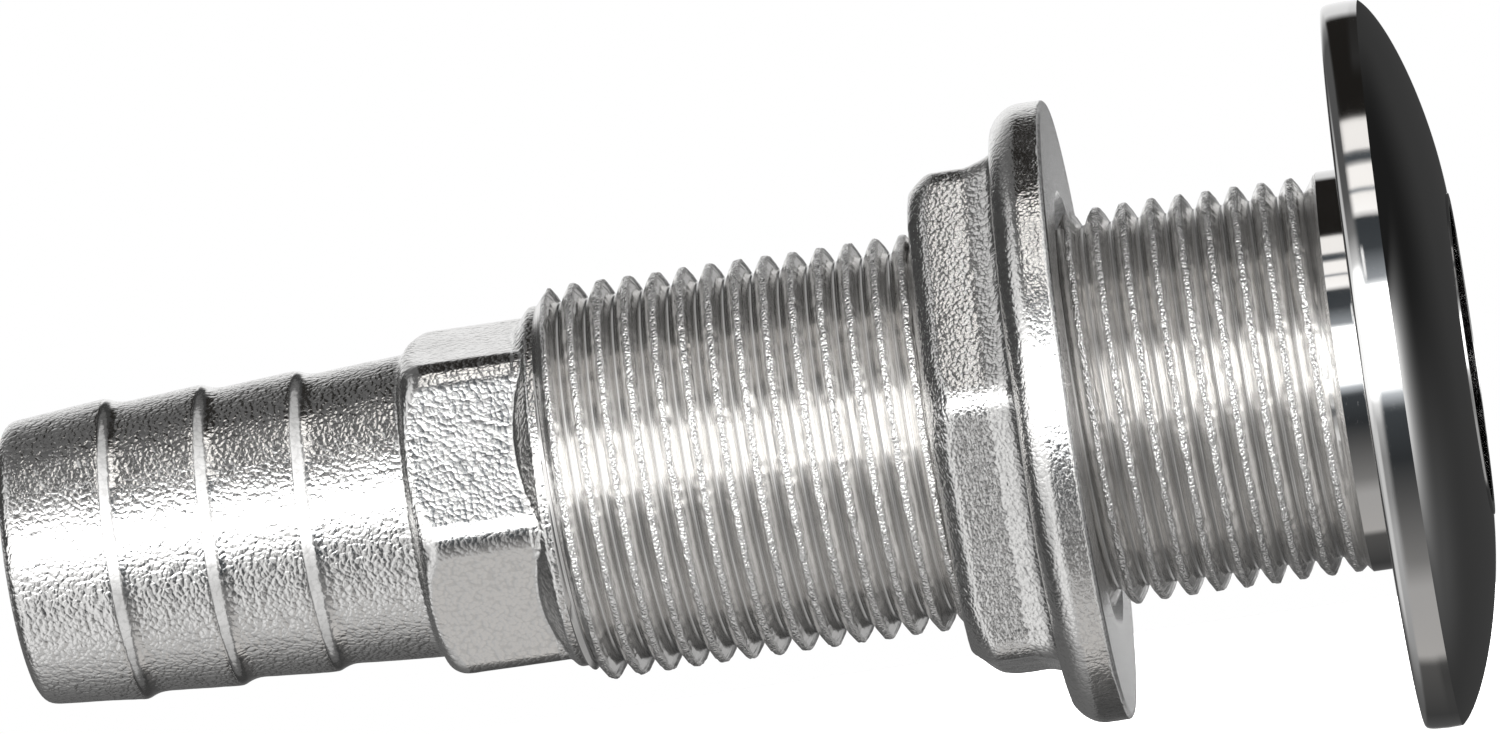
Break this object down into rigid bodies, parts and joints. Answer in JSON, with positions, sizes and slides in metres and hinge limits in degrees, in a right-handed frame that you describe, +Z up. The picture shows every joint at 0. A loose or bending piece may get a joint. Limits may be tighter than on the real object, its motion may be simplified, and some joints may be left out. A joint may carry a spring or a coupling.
{
  "type": "thru-hull fitting",
  "caption": "Stainless thru-hull fitting: mushroom head, threaded shank with a flanged hex nut, wrench hex and hose barb, open from end to end.",
  "frame": {"origin": "centre of the mushroom head's flat sealing face, on the waterway's axis", "axes": "+X along the waterway, outboard, towards the mushroom head; +Z up"},
  "size_m": [0.1218, 0.0606, 0.0606],
  "materials": {
    "body_steel": "cast stainless, machined thread, mirror-polished neck and head",
    "nut_steel": "cast stainless with a fine pebbled skin, machined clamping face"
  },
  "bodies": {
    "fitting": {"fitting_body": "body_steel"},
    "nut_carrier": {"nut_flange": "nut_steel"},
    "nut": {"nut_hex": "nut_steel"}
  },
  "joints": [
    {"name": "nut_travel", "type": "slide", "parent": "fitting", "child": "nut_carrier", "axis": [1, 0, 0], "range_m": [-0.0301, 0.0186]},
    {"name": "nut_turn", "type": "hinge", "parent": "nut_carrier", "child": "nut", "pos_m": [-0.0322, 0, 0], "axis": [1, 0, 0], "range_deg": [-4680, 2880]}
  ],
  "couplings": [
    {"joint": "nut_travel", "follows": "nut_turn", "m_per_rad": 0.0003675}
  ]
}
